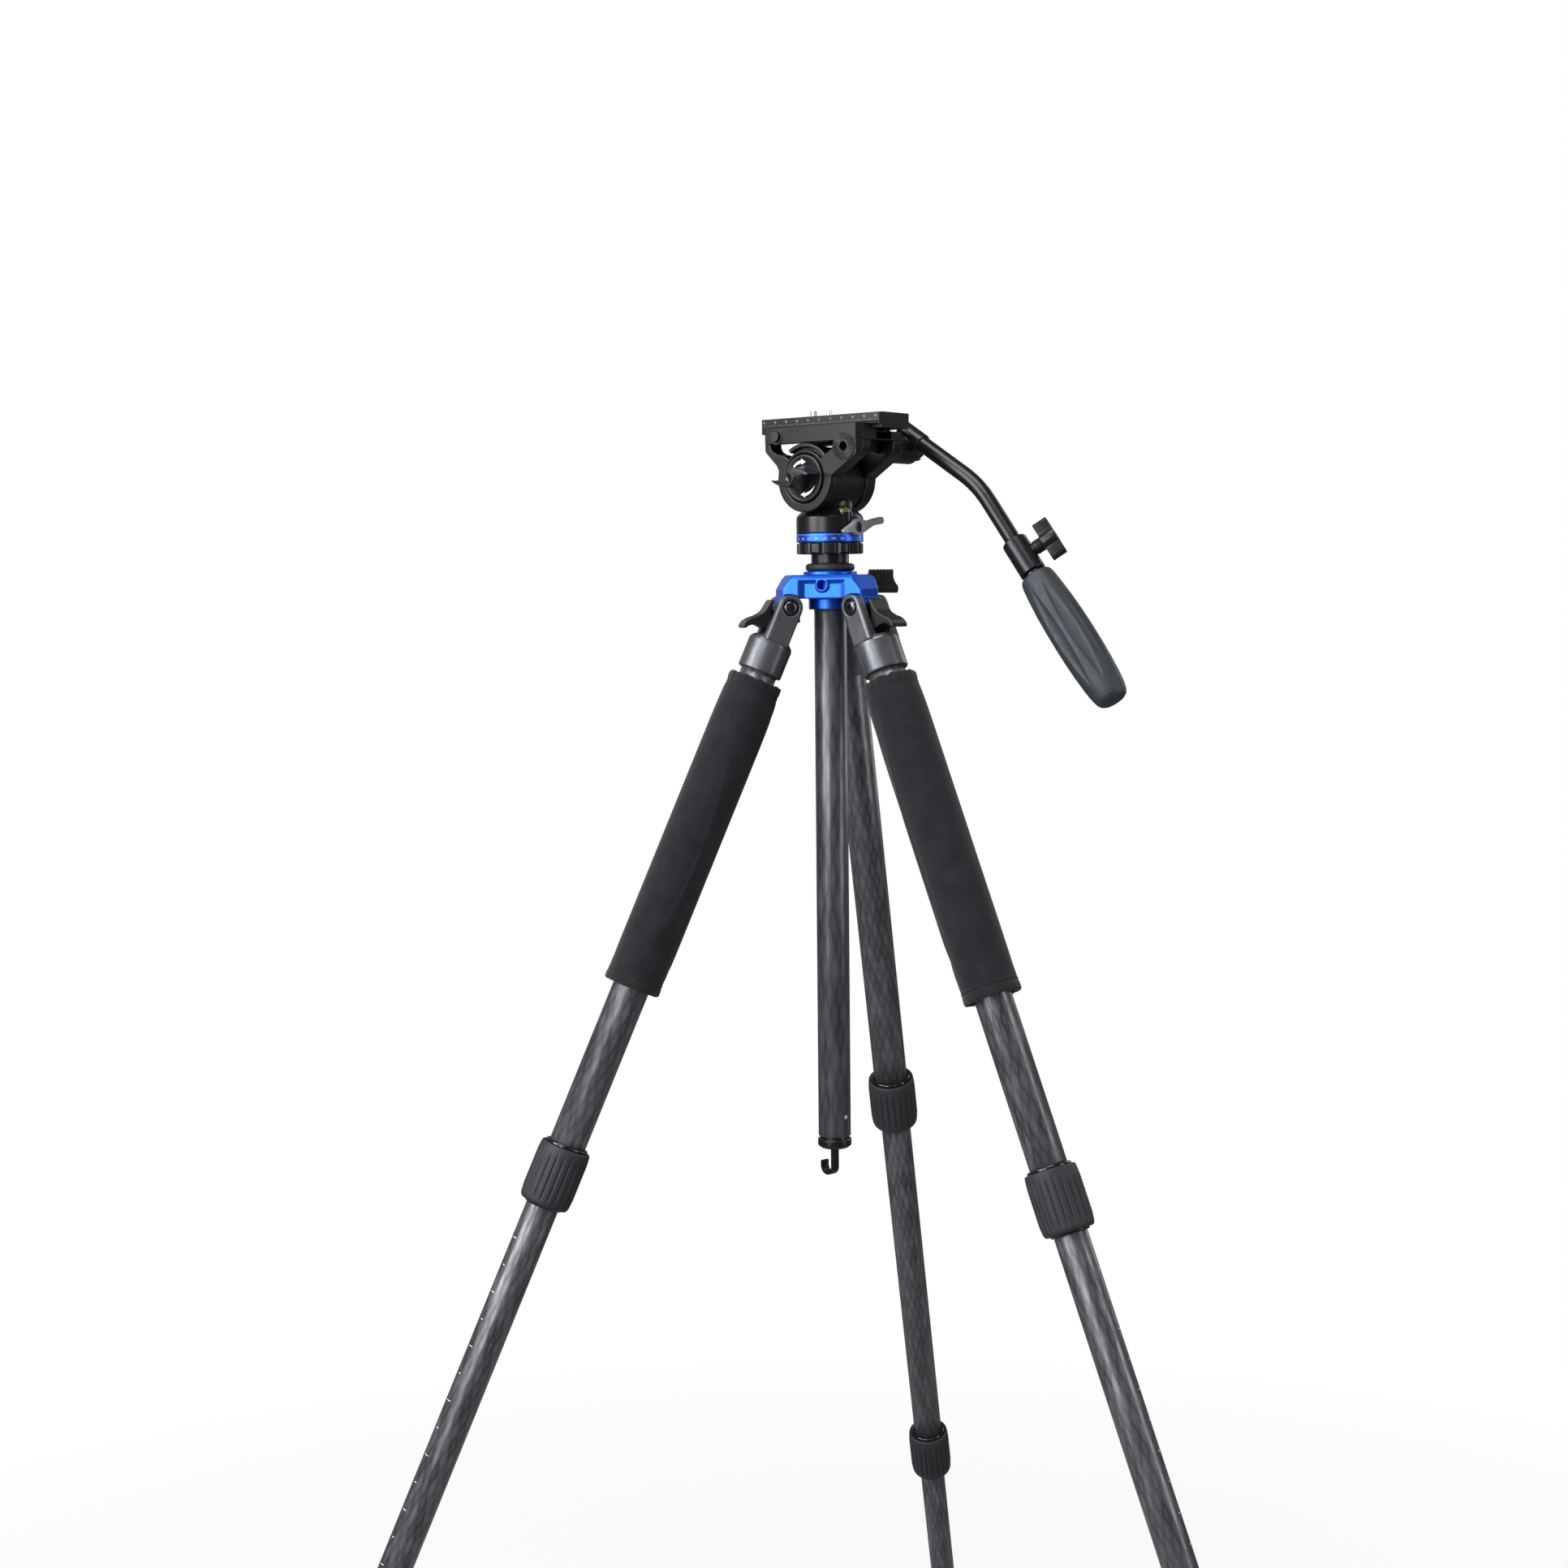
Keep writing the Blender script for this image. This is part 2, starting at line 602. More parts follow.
def fluted_lock(leg, part, body, tube_r, next_r):
    """Rubber twist grip with deep narrow flutes, a smooth rim and a glossy ring above."""
    place = leg_frame(leg)
    node = f"{leg}_{part}_lock"
    low, high = along_leg(leg, node)
    top = high - 2.6
    bottom = low + 1.8
    outer = tube_r + 6.7
    flutes = 22

    def fluted(r, z, angle):
        share = min(1.0, max(0.0, (top - 5.0 - z) / 7.0)) * min(1.0, max(0.0, (z - bottom - 3.0) / 6.0))
        if r < outer - 3.4:
            return r
        wave = abs(math.sin(angle * flutes / 2))
        depth = 1.15 * (1 - min(1.0, wave * 2.1)) + 0.28 * (1 - wave)
        return r - depth * share

    profile = [(next_r + 0.9, bottom - 0.2), (outer - 3.4, bottom), (outer - 2.3, bottom + 0.4),
               (outer - 1.3, bottom + 1.8)]
    profile += [(outer - 0.7 + 0.7 * t, bottom + 4 + 7 * t) for t in (0, 0.33, 0.66, 1)]
    profile += [(outer, bottom + 11 + (top - bottom - 23) * t / 5) for t in range(1, 6)]
    profile += [(outer - 0.1, top - 9), (outer - 0.35, top - 6), (outer - 0.55, top - 3.6),
                (outer - 0.8, top - 1.6), (outer - 1.1, top - 0.6), (outer - 1.7, top), (tube_r + 3.2, top),
                (tube_r + 3.0, top - 2.0)]
    outside = lathe(profile, flutes * 12, fluted, cap=(False, False))[:2]
    inside = ring([(tube_r + 3.0, top - 2.0), (next_r + 0.9, bottom - 0.2)], flutes * 12)
    make_piece(f"{leg}_{part}_grip", *joined(outside, inside), place, body, "rubber", "rubber", (node,))
    band = ring([(tube_r + 0.12, top - 1.5), (tube_r + 2.9, top - 1.5), (tube_r + 2.9, top + 1.4),
                 (tube_r + 2.5, top + 2.3), (tube_r + 1.8, top + 2.6), (tube_r + 0.5, top + 2.6),
                 (tube_r + 0.12, top + 2.2), (tube_r + 0.12, top - 1.5)])
    make_piece(f"{leg}_{part}_ring", *band, place, body, "gloss_black", "black_plastic")
    collar = ring([(next_r + 0.1, bottom + 2), (next_r + 0.1, bottom - 1.3), (next_r + 0.5, bottom - 1.8),
                   (next_r + 1.6, bottom - 1.8), (next_r + 2.4, bottom - 1.2), (next_r + 2.6, bottom + 1)])
    make_piece(f"{leg}_{part}_collar", *collar, place, body, "gloss_black", "black_plastic")


def leg_marks(leg):
    """White extension marks on the outer side of the middle tube."""
    lock_low, _ = along_leg(leg, leg + "_upper_lock")
    radius = TUBE_R["middle"] + 0.04
    bearing, thick, spacing = 0.35, 0.5, 25
    marks = []
    for k in range(1, 15):
        s = lock_low - 8 - spacing * k
        wide = (2.6 if k % 2 else 1.5) / radius

        def point(i, j, s=s, wide=wide):
            angle = wide * (j - 2) / 2 + bearing
            return (radius * math.cos(angle), radius * math.sin(angle), s + thick * (i - 0.5))

        marks.append(grid(2, 5, point, closed=False)[:2])
    make_piece(leg + "_marks", *joined(*marks), leg_frame(leg), leg + "_middle", "white_print", "carbon")


def make_legs():
    for leg in LEGS:
        leg_tubes(leg)
        fluted_lock(leg, "upper", leg + "_upper_twist", TUBE_R["upper"], TUBE_R["middle"])
        fluted_lock(leg, "lower", leg + "_lower_twist", TUBE_R["middle"], TUBE_R["lower"])
        leg_marks(leg)
        remeshed_copy(leg + "_casting", leg + "_shoulder", 0.45, 14, "grey_metal", leg)
        remeshed_copy(leg + "_angle_tab", leg + "_thumb_tab", 0.45, 5, "black_plastic", leg + "_tab")


# ---- column

def make_column():
    low, high = ((corner.z - PIVOT_LEVEL.z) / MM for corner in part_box("column_tube"))
    carbon_tube("column_carbon", "column_tube", COLUMN, 14.4, 12.8, low, high, "column", "carbon_column")
    stop, top = ((corner.z - PIVOT_LEVEL.z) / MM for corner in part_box("bumper_ring"))
    middle, half = (stop + top) / 2, (top - stop) / 2
    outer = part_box("bumper_ring")[1].x / MM
    profile = [(14.55, stop + 0.4), (15.2, stop)]
    for k in range(17):
        a = -math.pi / 2 + math.pi * k / 16
        profile.append((outer - half + half * math.cos(a) ** 0.8, middle + half * math.sin(a)))
    profile += [(15.2, top), (14.55, top - 0.4), (14.55, stop + 0.4)]
    make_piece("column_bumper", *ring(profile), COLUMN, "column", "bumper_rubber", "rubber",
               ("bumper_ring",))


# ---- sleeves

def lumps(angle, seed, terms):
    """A smooth closed wave about 1 in height with a seeded mix of the given numbers of periods."""
    draw = np.random.default_rng(seed)
    total = 0.0
    for periods in terms:
        total += math.sin(periods * angle + draw.uniform(0, 2 * math.pi)) * draw.uniform(0.5, 1.0)
    return total / max(1, len(terms)) * 1.4


def sleeve_radius(share):
    """Radius of the resting sleeve at a share of its length from the top."""
    near_top = math.exp(-share / 0.035)
    near_end = math.exp(-(1 - share) / 0.03)
    narrower = (SLEEVE_BODY_R - SLEEVE_TOP_R) * near_top + (SLEEVE_BODY_R - SLEEVE_END_R) * near_end
    return SLEEVE_BODY_R - narrower


def simulate_sleeve(piece, place, top, bottom):
    """Lets the fabric settle as cloth: both hems are held, the cloth is cut a little long and the foam
    pushes it out, so that soft waves form. The tight fabric keeps only a third of their height."""
    held = piece.vertex_groups.new(name="held")
    hem_rows = (0, 1, SLEEVE_ROWS - 2, SLEEVE_ROWS - 1)
    ends = [v for v in range(len(piece.data.vertices)) if v // SLEEVE_STEPS in hem_rows]
    held.add(ends, 1.0, "REPLACE")
    cloth = piece.modifiers.new("cloth", "CLOTH")
    settings = cloth.settings
    settings.quality = 6
    settings.mass = 0.25
    settings.tension_stiffness = 30
    settings.compression_stiffness = 30
    settings.shear_stiffness = 12
    settings.bending_stiffness = 8.0
    settings.shrink_min = -0.004
    settings.use_pressure = True
    settings.uniform_pressure_force = 3.0
    settings.vertex_group_mass = "held"
    settings.effector_weights.gravity = 0.35
    cloth.collision_settings.use_collision = False
    frames = 16
    cloth.point_cache.frame_end = frames
    for number in range(1, frames + 1):
        SCENE.frame_set(number)
    apply_modifiers(piece)
    SCENE.frame_set(1)
    kept, deepest, highest = 0.3, -0.5, 0.4
    inverse = place.inverted()
    for vertex in piece.data.vertices:
        local = inverse @ vertex.co
        radius = math.hypot(local.x, local.y) / MM
        rest = sleeve_radius(min(max((top - local.z / MM) / (top - bottom), 0.0), 1.0))
        wanted = rest + min(max(kept * (radius - rest), deepest), highest)
        local.x *= wanted / radius
        local.y *= wanted / radius
        vertex.co = place @ local


def sleeve_body(leg, seed):
    place = leg_frame(leg)
    low, high = along_leg(leg, leg + "_sleeve")
    top, bottom = high - 8.5, low + 11.5

    def point(i, j):
        share = i / (SLEEVE_ROWS - 1)
        angle = 2 * math.pi * j / SLEEVE_STEPS
        wave = 0.28 * lumps(angle + 3 * share, seed, (2, 3, 5)) * math.sin(math.pi * share) ** 0.5
        r = sleeve_radius(share) + wave
        return (r * math.cos(angle), r * math.sin(angle), top + (bottom - top) * share)

    girth = 2 * math.pi * SLEEVE_BODY_R * MM
    points, faces, uvs = grid(SLEEVE_ROWS, SLEEVE_STEPS, point, uv=lambda i, j: (
        j / SLEEVE_STEPS * girth, -i / (SLEEVE_ROWS - 1) * (top - bottom) * MM))
    piece = make_piece(leg + "_sleeve_cloth", points, faces, place, leg, "fabric", "fabric",
                       (leg + "_sleeve",), uvs)
    piece.parent = None
    simulate_sleeve(piece, place, top, bottom)
    fine = piece.modifiers.new("fine", "SUBSURF")
    fine.levels = fine.render_levels = 1
    apply_modifiers(piece)
    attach(piece, leg)


def sleeve_hem(leg, name, edge_z, inward, face_r, pucker, seed):
    """A folded, gathered hem: a band on the cloth, a round fold at the end and a lining back to the tube.
    inward is the direction from the edge to the sleeve's middle, +1 or -1."""
    place = leg_frame(leg)
    steps = 180
    section = [(-0.9, 12.6), (0.15, 12.1), (0.25, 10.8), (-0.35, 9.6), (0.1, 8.4), (0.55, 6.0), (0.6, 2.6),
               (0.45, 0.9), (-0.1, 0.15), (-1.6, 0.0), (-3.6, 0.4), (-5.2, 1.2), (-6.2, 2.6), (-6.5, 6.0)]
    tube_gap = face_r - 16.9

    def point(i, j):
        offset, depth = section[i]
        angle = 2 * math.pi * j / steps
        edge = 1 - min(1.0, depth / 11.0)
        ripple = pucker * edge * lumps(angle, seed, (11, 14, 17, 23))
        drop = 1.3 * pucker * edge * lumps(angle, seed + 7, (9, 13, 16, 21))
        reach = offset if offset > -3 else offset * tube_gap / 6.5
        r = face_r + reach + ripple * (1 if offset > -3 else 0.3)
        return (r * math.cos(angle), r * math.sin(angle), edge_z + inward * (depth + drop))

    lengths = run_lengths(section)
    girth = 2 * math.pi * face_r * MM
    points, faces, uvs = grid(len(section), steps, point,
                              uv=lambda i, j: (j / steps * girth, lengths[i] * MM))
    if inward > 0:
        faces = [face[::-1] for face in faces]
        uvs = [uvs[k - k % 4 + 3 - k % 4] for k in range(len(uvs))]
    hem = make_piece(f"{leg}_{name}_hem", points, faces, place, leg, "hem_cloth", "fabric", (), uvs)
    fine = hem.modifiers.new("fine", "SUBSURF")
    fine.levels = fine.render_levels = 1
    stitches = hem_stitches(face_r + 0.12, edge_z + inward * 9.7)
    make_piece(f"{leg}_{name}_stitches", *stitches, place, leg, "black_plastic", "fabric")


def hem_stitches(seam_r, z, count=46):
    """One round of short thread bumps."""
    length = 2 * math.pi / count * 0.62
    stitches = []
    for k in range(count):
        start = 2 * math.pi * k / count

        def thread(i, j, start=start):
            angle = start + length * i / 4
            lift = 0.22 * math.sin(math.pi * i / 4)
            turn = 2 * math.pi * j / 6
            width = 0.34 * (0.5 + 0.5 * math.sin(math.pi * (i + 0.6) / 5.2))
            radius = seam_r + lift + width * math.cos(turn)
            return (radius * math.cos(angle), radius * math.sin(angle), z + width * math.sin(turn))

        stitches.append(grid(5, 6, thread, cap=(True, True))[:2])
    return joined(*stitches)


def make_sleeves():
    for number, leg in enumerate(LEGS[1:]):
        low, high = along_leg(leg, leg + "_sleeve")
        sleeve_body(leg, 11 + number)
        sleeve_hem(leg, "top", high, -1, 23.4, 0.85, 31 + number)
        sleeve_hem(leg, "bottom", low, 1, 24.7, 0.2, 41 + number)


# ---- head

def head_place(x, side, z):
    """A frame on the head's left (-1) or right (+1) side at height z, its z axis pointing outwards."""
    outward = HEAD_Y * side
    origin = HEAD @ (Vector((x, 0, z)) * MM)
    return frame_of(origin, HEAD_X, outward.cross(HEAD_X), outward)


def head_coordinates(point):
    return (HEAD.inverted() @ point) / MM


def node_span(node, place):
    """Lowest and highest corner of a CAD node in a local frame, in millimetres."""
    inverse = place.inverted()
    points = np.array([(inverse @ vertex.co) / MM for vertex in frame["nodes"][node].data.vertices])
    return Vector(points.min(0)), Vector(points.max(0))


def toothed_rosette(name, side, replaces):
    """A seat with radial teeth, so that the handle locks at any of its angles."""
    seat = head_coordinates(joint_point("handle_swing"))
    place = head_place(seat.x, side, seat.z)
    outer, inner, teeth = 11.9, 5.3, 30
    seat_y = 35.02 if side < 0 else 28.52
    face = seat_y + 1.5
    radii = [inner, inner + 0.5, 7.0, 9.0, 11.0, 11.6]

    def point(i, j):
        r = radii[i]
        wave = abs((j / 8.0) % 1.0 - 0.5) * 2
        share = min(1.0, max(0.0, (wave - 0.18) / 0.5))
        drop = 1.0 * (1 - share) * (0.25 + 0.75 * (r - inner) / (outer - inner))
        a = 2 * math.pi * j / (teeth * 8)
        return (r * math.cos(a), r * math.sin(a), face - drop * (0 if i == 0 else 1))

    top = grid(len(radii), teeth * 8, point)[:2]
    rim = ring([(11.6, face - 0.95), (outer, face - 1.15), (outer, seat_y)], teeth * 8)
    hub = ring([(4.05, seat_y), (4.05, face - 0.1), (4.3, face + 0.1), (5.0, face + 0.1), (inner, face)])
    points, faces = joined(top, rim, hub)
    faces = [corners[::-1] for corners in faces]
    make_piece(name, points, faces, place, "tilt_frame", "dial_dark", "black_metal", replaces, smooth=False)


def swirl(scale_x=1.0, scale_y=1.0):
    """Outline of the drag lever from above: two horns turned half round on each other."""
    tip = Vector((21.0, 2.4))
    back = [Vector((21.0 * t, 8.6 - 6.2 * t ** 2.2))
            for t in (0.03, 0.14, 0.26, 0.38, 0.5, 0.62, 0.74, 0.85, 0.94)]
    front = [Vector((21.0 - 20.2 * t, 2.0 + 1.2 * math.sin(2.6 * t) - 9.6 * t ** 2.6))
             for t in (0.06, 0.16, 0.3, 0.44, 0.58, 0.7, 0.8, 0.9)]
    half = back + [tip] + front
    outline = half + [-p for p in half]
    return [(p.x * scale_x, p.y * scale_y) for p in outline]


def drag_dial():
    """Tilt drag dial: a rimmed disc with two sunk fields, white curved arrows and a tall swirl lever."""
    face, knob_r = DIAL_FACE, DIAL_R
    disc = lathe([(2.6, 31.9), (knob_r, 31.9), (knob_r, face - 0.9), (knob_r - 0.3, face - 0.2),
                  (knob_r - 1.1, face), (knob_r - 2.4, face), (knob_r - 2.9, face - 0.45), (6.0, face - 0.45),
                  (6.0, face - 2)], 128)[:2]
    make_piece("drag_disc", *disc, TILT_AXIS, "drag_dial", "dial_dark", "black_plastic", ("drag_knob",))
    rings = [(0.0, 1.06, 1.34), (2.4, 1.02, 1.18), (6.0, 1.0, 1.05), (11.0, 1.0, 1.0), (17.2, 1.0, 1.0),
             (18.3, 0.995, 0.985), (18.8, 0.975, 0.94), (18.95, 0.94, 0.86)]
    outlines = [swirl(wide, deep) for _, wide, deep in rings]
    base = face - 0.5

    def point(i, j):
        x, y = outlines[i][j]
        r = math.hypot(x, y)
        limit = knob_r - 1.3
        if i < 2 and r > limit:
            x, y = x * limit / r, y * limit / r
        return (x, y, base + rings[i][0])

    lever = grid(len(rings), len(outlines[0]), point, cap=(False, True))[:2]
    lever = make_piece("drag_lever", *lever, TILT_AXIS, "drag_dial", "dial_dark", "black_plastic")
    crease = lever.modifiers.new("edges", "EDGE_SPLIT")
    crease.split_angle = math.radians(50)
    top = base + 18.95
    panel = rounded([(8.6, 4.7), (14.6, 3.4), (16.6, 2.6), (9.8, 1.6), (5.9, 2.6)], 0.7)
    for number, turn in enumerate((0, math.pi)):
        dial_piece(f"drag_arrow_{number}", dial_arrow(turn), "white_print", smooth=False)
        dial_piece(f"drag_field_{number}", dial_field(turn), "black_plastic")
        line = outline_groove(mirrored(panel) if turn else panel, 0.32, top + 0.01)
        dial_piece(f"drag_panel_{number}", line, "gloss_black")
    rim = ring([(0.01, top + 0.02), (3.0, top + 0.02), (3.3, top + 0.15), (3.7, top + 0.15),
                (3.9, top - 0.05)], 64)
    dial_piece("drag_screw_rim", rim, "gloss_black")
    socket = ring([(0.01, top + 0.07), (0.9, top + 0.07), (1.0, top + 0.35), (2.2, top + 0.35),
                   (2.5, top + 0.05)], 6)
    dial_piece("drag_screw_head", socket, "gloss_black", "steel", smooth=False)


def dial_piece(name, shape, finish, slot="black_plastic", smooth=True):
    make_piece(name, *shape, TILT_AXIS, "drag_dial", finish, slot, smooth=smooth)


def dial_arrow(turn):
    """A curved arrow whose tail runs out to a point, about 14 mm from the dial's axis."""
    z = DIAL_FACE - 0.38
    middle, half, steps = 14.4, 1.2, 24
    tail_angle, neck_angle = 152, 96

    def point(i, j):
        t = i / (steps - 1)
        a = math.radians(tail_angle + (neck_angle - tail_angle) * t) + turn
        r = middle + half * (0.1 + 0.9 * min(1.0, t * 1.5)) * (1, -1)[j]
        return (r * math.cos(a), r * math.sin(a), z)

    tip, base = math.radians(78) + turn, math.radians(97) + turn
    head = [(middle * math.cos(tip), middle * math.sin(tip), z)]
    head += [(r * math.cos(base), r * math.sin(base), z) for r in (middle - 2.5, middle + 2.5)]
    return joined(grid(steps, 2, point, closed=False)[:2], (head, [(0, 1, 2)]))


def dial_field(turn):
    """Raised thin border round an arrow: two arcs and the half circle that joins them."""
    middle, half = 14.2, 3.6
    z = DIAL_FACE - 0.45
    border = []
    for r in (middle - half, middle + half):
        def point(i, j, r=r):
            a = math.radians(158 - 104 * i / 39) + turn
            out, up = FLAT_BORDER[j]
            return ((r + out) * math.cos(a), (r + out) * math.sin(a), z + up)
        border.append(grid(40, 4, point, closed=False)[:2])
    end = math.radians(54) + turn

    def cap_point(i, j):
        a = math.pi * i / 15
        out, up = FLAT_BORDER[j]
        u = middle + (half + out) * math.cos(a)
        v = -(half + out) * math.sin(a)
        return (u * math.cos(end) - v * math.sin(end), u * math.sin(end) + v * math.cos(end), z + up)

    border.append(grid(16, 4, cap_point, closed=False)[:2])
    return joined(*border)


def outline_groove(outline, width, z):
    """A thin flat line along a closed outline."""
    count = len(outline)

    def point(i, j):
        here, before, after = Vector(outline[j]), Vector(outline[j - 1]), Vector(outline[(j + 1) % count])
        along = (after - before).normalized()
        x, y = here + Vector((along.y, -along.x)) * width * (i - 0.5)
        return (x, y, z)

    return grid(2, count, point)[:2]


def digits(text, height):
    """Flat generic digits as (points, faces), centred, in millimetres."""
    curve = bpy.data.curves.new("digits", "FONT")
    curve.body = text
    curve.size = height / 0.7
    curve.align_x = "CENTER"
    curve.align_y = "CENTER"
    curve.resolution_u = 3
    holder = bpy.data.objects.new("digits", curve)
    SCENE.collection.objects.link(holder)
    bpy.context.view_layer.update()
    mesh = bpy.data.meshes.new_from_object(holder.evaluated_get(bpy.context.evaluated_depsgraph_get()))
    shape = ([tuple(v.co) for v in mesh.vertices], [tuple(f.vertices) for f in mesh.polygons])
    bpy.data.objects.remove(holder)
    bpy.data.meshes.remove(mesh)
    return shape


def square_mark(width, height):
    return [(-width / 2, -height / 2, 0), (width / 2, -height / 2, 0), (width / 2, height / 2, 0),
            (-width / 2, height / 2, 0)], [(0, 1, 2, 3)]


def plate_ruler():
    """White ruler on both long sides of the plate: fifty to nought to fifty."""
    low, high = node_span("camera_plate", HEAD)
    middle_x = (low.x + high.x) / 2 - 1.6
    unit = 1.245
    bottom = high.z - 7.5
    for side, name in ((-1, "left"), (1, "right")):
        depth = (high.y if side > 0 else -low.y) + 0.03
        shapes = []
        for k in range(-50, 51):
            if k % 2 and k % 5:
                continue
            tall = 1.6 if k % 10 == 0 else (1.2 if k % 5 == 0 else 0.8)
            shapes.append(moved(square_mark(0.2, tall), lambda p, k=k, tall=tall: (
                (p.x + k * unit) * -side, p.y + bottom + 0.9 + tall / 2, depth)))
        for k in range(-50, 51, 10):
            shapes.append(moved(digits(str(abs(k)), 1.7), lambda p, k=k: (
                p.x + k * unit, p.y + bottom + 4.4, depth)))
        origin = head_place(middle_x, side, 0).translation
        reading = frame_of(origin, HEAD_X * -side, UP, HEAD_Y * side)
        make_piece(f"plate_ruler_{name}", *joined(*shapes), reading, "plate", "grey_print", "black_metal",
                   smooth=False)


def scale_ring():
    """Ticks every 2.5 degrees and numbers every 15 round the blue ring."""
    radius = node_span("pan_base", COLUMN)[1].x + 0.03
    top = 64.4
    shapes = []
    for k in range(144):
        tall = 1.7 if k % 6 == 0 else (1.3 if k % 2 == 0 else 0.9)
        shapes.append(moved(square_mark(0.22, tall), lambda p, k=k, tall=tall: around_ring(
            radius, p.x, 2 * math.pi * k / 144, top - 0.5 - tall / 2 + p.y)))
    for k in range(24):
        shapes.append(moved(digits(str(15 * ((k + 15) % 24)), 1.8), lambda p, k=k: around_ring(
            radius, p.x, -math.radians(15 * k) - math.radians(25), top - 4.6 + p.y)))
    make_piece("pan_scale", *joined(*shapes), COLUMN, "column", "pale_print", "blue_anodised", smooth=False)


def around_ring(radius, x, angle, z):
    a = angle + x / radius
    return (radius * math.cos(a), radius * math.sin(a), z)


def threaded_stud():
    """Quarter inch camera screw: a real helical thread over its shaft, with a chamfered tip."""
    centre = head_coordinates(joint_point("mount_screw_turn"))
    pitch, rows, steps = 1.27, 92, 48
    bottom, top = 161.9, node_span("camera_screw", HEAD)[1].z

    def point(i, j):
        z = bottom + (top - bottom) * i / (rows - 1)
        phase = (z / pitch - j / steps) % 1.0
        r = 2.62 + 0.54 * (1 - abs(2 * phase - 1))
        r = min(r, 2.4 + max(0.0, top - z) * 1.0) if top - z < 0.8 else r
        a = 2 * math.pi * j / steps
        return (centre.x + r * math.cos(a), r * math.sin(a), z)

    thread = grid(rows, steps, point, cap=(True, True))[:2]
    head = ring([(3.0, 157.0), (7.7, 157.0), (8.0, 157.3), (8.0, 161.6), (7.7, 161.9), (2.4, 161.9)],
                cap=(True, False))
    head = moved(head, lambda p: (p.x + centre.x, p.y, p.z))
    stud = joined(thread, head)
    make_piece("camera_stud", *stud, HEAD, "mount_screw", "steel", "steel", ("camera_screw",))


def lever_screw():
    """Dark ring and socket in the head of the pan lock lever's screw."""
    axis = joint_axis("pan_lock_lever")
    place = frame_of(joint_point("pan_lock_lever"), UP.cross(axis), UP, axis)
    top = node_span("pan_lever_screw", place)[1].z
    rim = ring([(2.9, top + 0.02), (3.0, top + 0.1), (4.2, top + 0.1), (4.4, top - 0.3)], 64)
    socket = ring([(0.01, top + 0.04), (1.3, top + 0.04)], 6)
    make_piece("lever_screw_ring", *joined(rim, socket), place, "pan_lock", "gloss_black", "steel")


def bubble():
    """Ring on the vial and the bubble in it."""
    low, high = node_span("bubble_level", HEAD)
    x, y, top = (low.x + high.x) / 2, (low.y + high.y) / 2, high.z
    rim = ring([(2.7, top - 0.6), (3.0, top - 0.35), (3.2, top - 0.6)], 48)
    rim = moved(rim, lambda p: (p.x + x, p.y + y, p.z))
    make_piece("vial_ring", *rim, HEAD, "pan_head", "gloss_black", "black_plastic")
    ball = lathe([(0.05, top - 3.6), (1.6, top - 3.3), (2.3, top - 2.6), (2.1, top - 2.0), (1.2, top - 1.7),
                  (0.05, top - 1.6)], 32)[:2]
    ball = moved(ball, lambda p: (p.x + x, p.y + y, p.z))
    make_piece("vial_bubble", *ball, HEAD, "pan_head", "white_print", "vial")


def make_head():
    toothed_rosette("rosette_left", -1, ("rosettes",))
    toothed_rosette("rosette_right", 1, ())
    drag_dial()
    plate_ruler()
    scale_ring()
    threaded_stud()
    bubble()
    lever_screw()
    remeshed_copy("column_lock_knob", "column_wing", 0.4, 4, "black_plastic", "column_knob")
    remeshed_copy("handle_clamp", "handle_socket", 0.45, 5, "black_metal", "handle")
    remeshed_copy("hub", "hub_casting", 0.5, 5, "blue_anodised", "hub_frame")
    remeshed_copy("left_cheek", "left_side", 0.45, 5, "black_metal", "tilt_frame")
    remeshed_copy("right_cheek", "right_side", 0.45, 5, "black_metal", "tilt_frame")


# ---- handle

def about_x(r, s, angle):
    return (s, r * math.cos(angle), r * math.sin(angle))


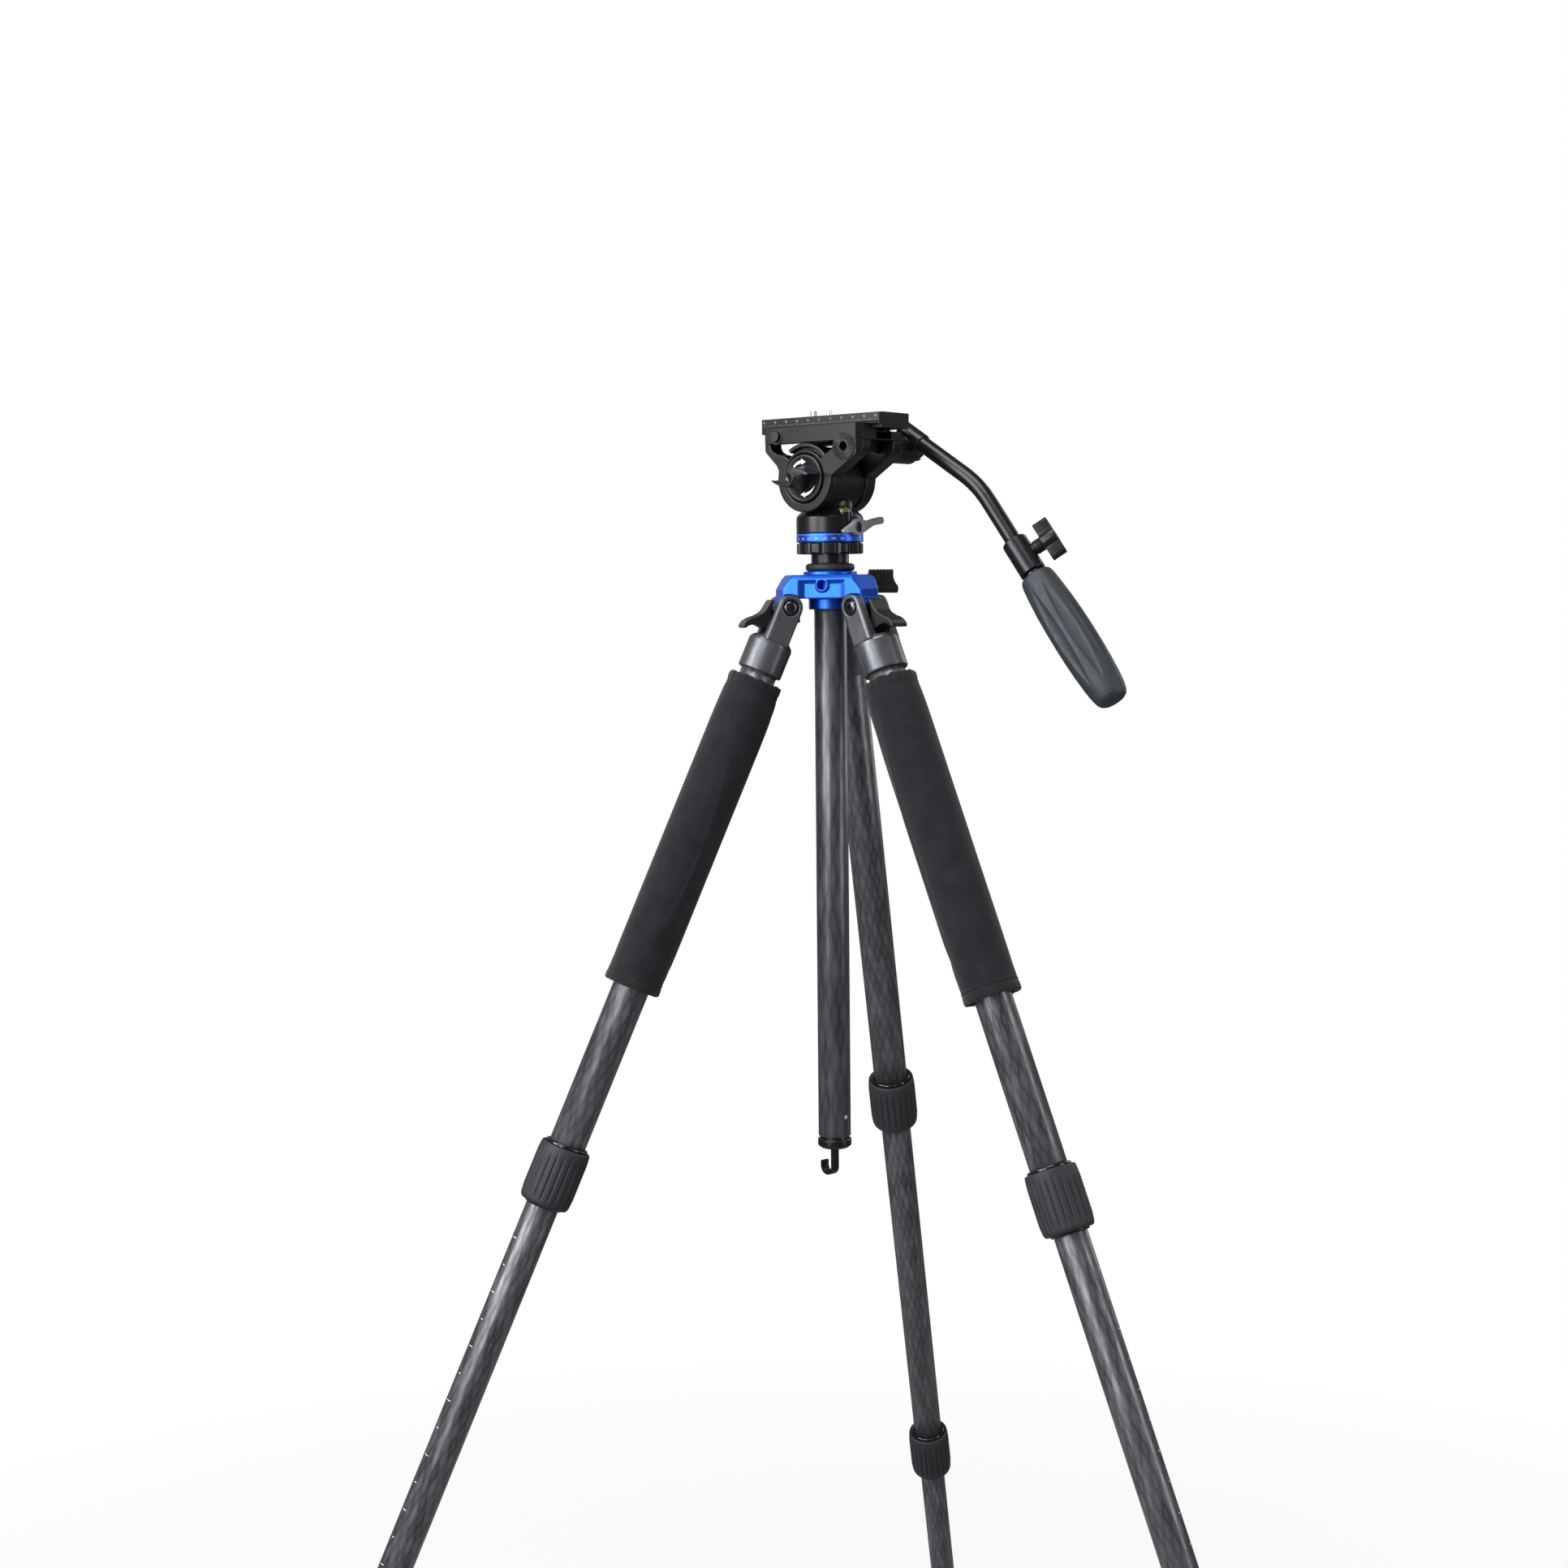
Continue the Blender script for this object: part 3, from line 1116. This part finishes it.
def handle_grip():
    """Rubber grip: a long barrel with eight lens-shaped flutes and a fine mould seam."""
    low, high = node_span("handle_grip", GRIP)
    start, end = low.x, high.x
    outline = [(8.4, 0.4), (12.2, 0.0), (13.2, 0.25), (13.9, 1.0), (14.6, 2.6), (15.3, 6.0), (16.4, 16),
               (17.6, 31), (18.4, 48), (18.68, 64), (18.5, 80), (17.9, 95), (16.9, 110), (16.1, 117),
               (15.2, 122.4), (14.2, 126.2), (12.6, 129.0), (10.2, 130.6), (7.0, 131.3), (3.0, 131.48),
               (0.05, 131.5)]
    radii, reach = zip(*outline)
    steps = 320
    stations = sorted({round(x, 3) for x in np.linspace(3.0, 127.0, 90)} | set(reach))
    seam, count = math.radians(142), 8

    def point(i, j):
        s = stations[i]
        r = float(np.interp(s, reach, radii))
        a = 2 * math.pi * j / steps
        t = (s - 14.0) / 98.0
        if 0 < t < 1:
            half = math.pi / count * 0.74 * math.sin(math.pi * t) ** 0.62
            off = ((a - seam + math.pi / count) % (2 * math.pi / count)) - math.pi / count
            if abs(off) < half:
                r -= 1.9 * math.sin(math.pi * t) ** 0.4 * (1 - (off / half) ** 2) ** 0.8
        line = min(abs((a - seam + math.pi / 2) % math.pi - math.pi / 2) * r, 1.0)
        r += 0.14 * max(0.0, 1 - line / 0.45) if r > 5 else 0.0
        return about_x(r, start + s * (end - start) / reach[-1], a)

    points, faces, _ = grid(len(stations), steps, point, cap=(False, True))
    make_piece("grip_rubber", points, faces, GRIP, "grip", "grip_rubber", "rubber", ("handle_grip",))
    slot_shape = block(rounded([(-1.7, -0.8), (1.7, -0.8), (1.7, 0.8), (-1.7, 0.8)], 0.5), -0.3, 0.06, 0.03)
    slot_shape = moved(slot_shape, lambda p: (end + p.z, p.x, p.y))
    make_piece("grip_slot", *slot_shape, GRIP, "grip", "gloss_black", "rubber")
    neck_long = 3.2
    neck = ring([(7.1, 0), (9.3, 0), (9.3, neck_long), (7.1, neck_long)], 64)
    neck = moved(neck, lambda p: (start - neck_long + p.z, p.x, p.y))
    make_piece("grip_neck", *neck, GRIP, "grip", "gloss_black", "black_metal")


def wing_edge(x):
    """Half thickness of the wing knob at a distance x from its axis: a boss, two round ends and ribs."""
    ends = 4.0 if abs(x) < 14.6 else math.sqrt(max(0.0, 16.0 - (abs(x) - 14.6) ** 2))
    if 7.6 < abs(x) < 15.6:
        ends -= 0.75 * (1 - abs(math.sin(math.pi * (abs(x) - 7.6) / 2.0)) ** 0.7)
    boss = math.sqrt(max(0.0, 7.6 ** 2 - x * x))
    return max(ends, boss)


def handle_knob():
    """Wing knob with ribbed wings on a round boss, and its clamp screw."""
    stations = [18.6 * math.sin(math.pi / 2 * k / 150) for k in range(-150, 151)]
    outline = [(x, wing_edge(x)) for x in stations] + [(x, -wing_edge(x)) for x in stations[-2:0:-1]]
    wing = block(outline, 20.0, 33.4, 0.7, 4)
    boss = lathe([(3.0, 7.5), (3.0, 12.0), (5.7, 12.0), (6.1, 12.4), (6.1, 20.6), (7.0, 20.9)], 96)[:2]
    make_piece("grip_wing", *joined(wing, boss), GRIP_KNOB, "grip_knob", "black_plastic", "black_plastic",
               ("handle_lock_knob",))
    washer = ring([(3.1, 11.95), (5.3, 11.95), (5.3, 12.35), (3.1, 12.35)], 64)
    make_piece("grip_washer", *washer, GRIP_KNOB, "grip", "brass", "steel")


def make_handle():
    handle_grip()
    handle_knob()


# ---- run

make_camera()
dress_cad_nodes()
make_stage()
make_light()
make_legs()
make_sleeves()
make_column()
make_head()
make_handle()

SCENE.view_settings.view_transform = "Standard"
SCENE.cycles.use_denoising = True
